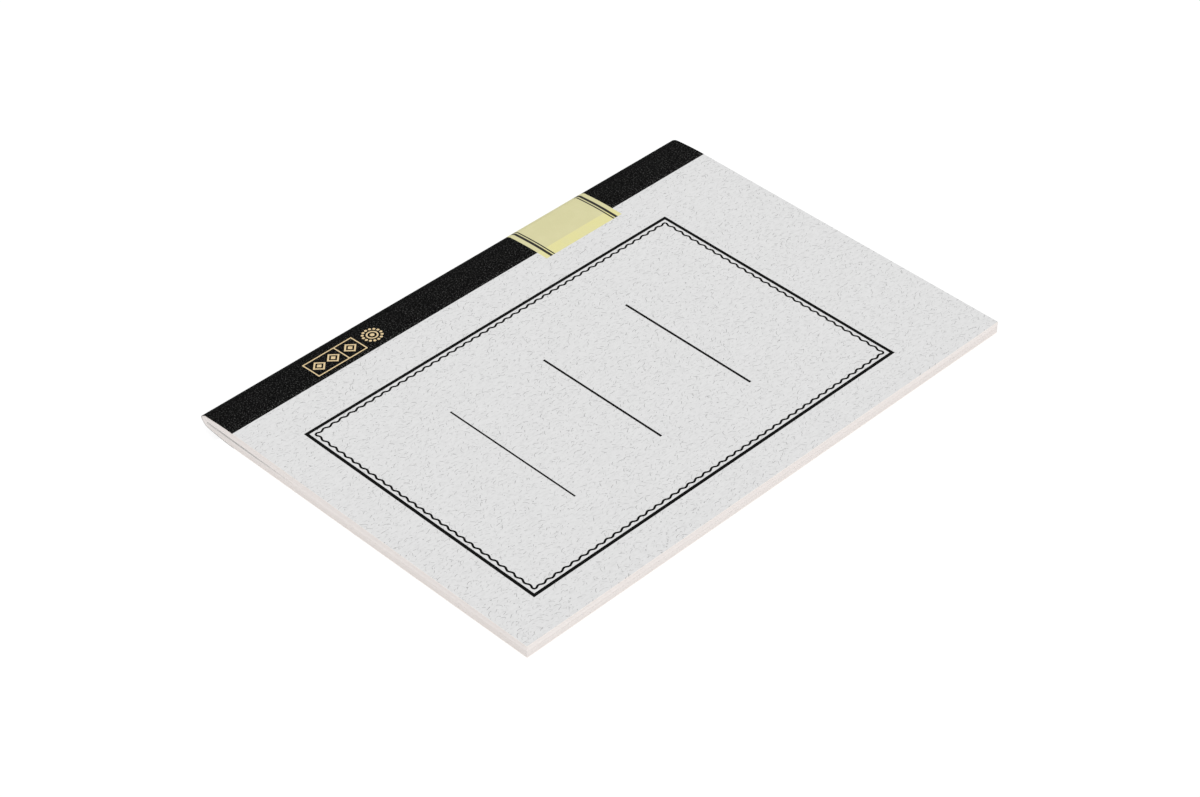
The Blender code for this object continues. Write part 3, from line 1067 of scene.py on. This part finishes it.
def make_print():
    mesh = bmesh.new()
    add_outline(mesh, FRAME_X, FRAME_Y, FRAME_LINE)
    finish_print("printed_frame", mesh, INK, PRINT_INK)

    mesh = bmesh.new()
    points = wave_points()
    edges = add_loop(mesh, points, -WAVE_LINE / 2) + add_loop(mesh, points, WAVE_LINE / 2)
    bmesh.ops.bridge_loops(mesh, edges=edges)
    finish_print("printed_wave", mesh, INK, PRINT_INK)

    mesh = bmesh.new()
    for y, start, stop, line in WRITING_LINES:
        add_plate(mesh, (start, stop), (y - line / 2, y + line / 2))
    finish_print("printed_writing_lines", mesh, INK, PRINT_INK)


def add_ring(mesh, centre, radius, sides, line):
    """Closed line round a centre, with its outer corners at the radius."""
    hollow(mesh, add_disc(mesh, centre, radius, sides), line)


def make_stamp():
    """Plain gold ornaments pressed into the cloth: a dotted rosette over a divided box."""
    mesh = bmesh.new()
    add_outline(mesh, STAMP_X, STAMP_Y, STAMP_LINE)
    half = STAMP_LINE / 2
    add_plate(mesh, (STAMP_X[0] + half, STAMP_X[1] - half), (STAMP_DIVIDER - half, STAMP_DIVIDER + half))
    middle = (STAMP_X[0] + STAMP_X[1]) / 2
    upper = (STAMP_DIVIDER + STAMP_Y[1]) / 2
    lower = (STAMP_Y[0] + STAMP_DIVIDER) / 2
    for y in (upper, lower - LOZENGE_STEP, lower + LOZENGE_STEP):
        add_ring(mesh, (middle, y), LOZENGE, LOZENGE_SIDES, LOZENGE_LINE)
        add_disc(mesh, (middle, y), LOZENGE_CORE, LOZENGE_SIDES)
    for number in range(ROSETTE_DOTS):
        angle = 2 * math.pi * number / ROSETTE_DOTS
        out = Vector((math.cos(angle), math.sin(angle)))
        add_disc(mesh, Vector(ROSETTE) + out * (ROSETTE_RADIUS - ROSETTE_DOT), ROSETTE_DOT, DOT_SIDES)
    add_ring(mesh, ROSETTE, ROSETTE_RING, RING_SIDES, ROSETTE_LINE)
    add_disc(mesh, ROSETTE, ROSETTE_CORE, CORE_SIDES)
    finish_print("gold_stamp", mesh, FOIL, GOLD_FOIL)


# Stage

def shown_ray(tree):
    """1 for what the camera sees, directly, in a reflection or through something."""
    ray = add(tree, "LightPath").outputs
    seen = calc(tree, "MAXIMUM", ray["Is Camera Ray"], ray["Is Glossy Ray"])
    return calc(tree, "MAXIMUM", seen, ray["Is Transmission Ray"])


def floor_finish():
    """White floor that keeps a faint shadow, and lets the camera through from below."""
    made = bpy.data.materials.new("white_floor")
    made.use_nodes = True
    tree = made.node_tree
    tree.nodes.clear()
    bounce = add(tree, "BsdfDiffuse", {"Color": (*grey(FLOOR_BOUNCE), 1)})
    shade = add(tree, "BsdfDiffuse", {"Color": (*grey(FLOOR_SHADE), 1)})
    glow = add(tree, "Emission", {"Color": (1, 1, 1, 1), "Strength": FLOOR_GLOW})
    white = add(tree, "AddShader", {0: shade.outputs[0], 1: glow.outputs[0]})
    lit = add(tree, "MixShader", {0: shown_ray(tree), 1: bounce.outputs[0], 2: white.outputs[0]})
    clear = add(tree, "BsdfTransparent")
    under = add(tree, "NewGeometry").outputs["Backfacing"]
    both = add(tree, "MixShader", {0: under, 1: lit.outputs[0], 2: clear.outputs[0]})
    sink = tree.nodes.new("ShaderNodeOutputMaterial")
    feed(tree, sink.inputs["Surface"], both.outputs[0])
    return made


def make_floor():
    """Floor under the notebook, a little lower under the spine and beyond it."""
    mesh = bmesh.new()
    bmesh.ops.create_grid(mesh, x_segments=1, y_segments=1, size=FLOOR_SIZE / 2)
    for edge in (FLOOR_EDGE, FLOOR_EDGE - FLOOR_STEP):
        cut_at(mesh, edge)
    for vert in mesh.verts:
        if vert.co.x < FLOOR_EDGE - FLOOR_STEP / 2:
            vert.co.z = -FLOOR_STEP
    data = bpy.data.meshes.new("floor")
    mesh.to_mesh(data)
    mesh.free()
    data.materials.append(floor_finish())
    floor = place_object("floor", data)


def make_world():
    world = bpy.data.worlds.new("studio")
    world.use_nodes = True
    tree = world.node_tree
    tree.nodes.clear()
    light = add(tree, "Background", {"Color": (1, 1, 1, 1), "Strength": SKY_STRENGTH})
    white = add(tree, "Background", {"Color": (1, 1, 1, 1), "Strength": 1.0})
    both = add(tree, "MixShader", {0: shown_ray(tree), 1: light.outputs[0], 2: white.outputs[0]})
    sink = tree.nodes.new("ShaderNodeOutputWorld")
    feed(tree, sink.inputs["Surface"], both.outputs[0])
    bpy.context.scene.world = world


def make_key_light():
    """Soft even light from the fore-edge side, like a large window."""
    light = bpy.data.lights.new("key_light", "SUN")
    light.energy = KEY_STRENGTH
    light.angle = math.radians(KEY_SPREAD)
    made = place_object("key_light", light)
    made.rotation_euler = Vector(KEY_FROM).to_track_quat("Z", "Y").to_euler()


def make_camera():
    data = bpy.data.cameras.new("camera")
    data.lens = CAMERA_LENS
    data.sensor_width = CAMERA_SENSOR
    camera = place_object("camera", data)
    camera.location = CAMERA_PLACE
    camera.rotation_euler = [math.radians(turn) for turn in CAMERA_TURN]
    bpy.context.scene.camera = camera


def make_stage():
    make_floor()
    make_world()
    make_key_light()
    make_camera()
    bpy.context.scene.view_settings.view_transform = "Standard"


make_covers()
make_spine()
make_folds()
make_leaves()
make_sewing()
make_print()
make_stamp()
make_stage()
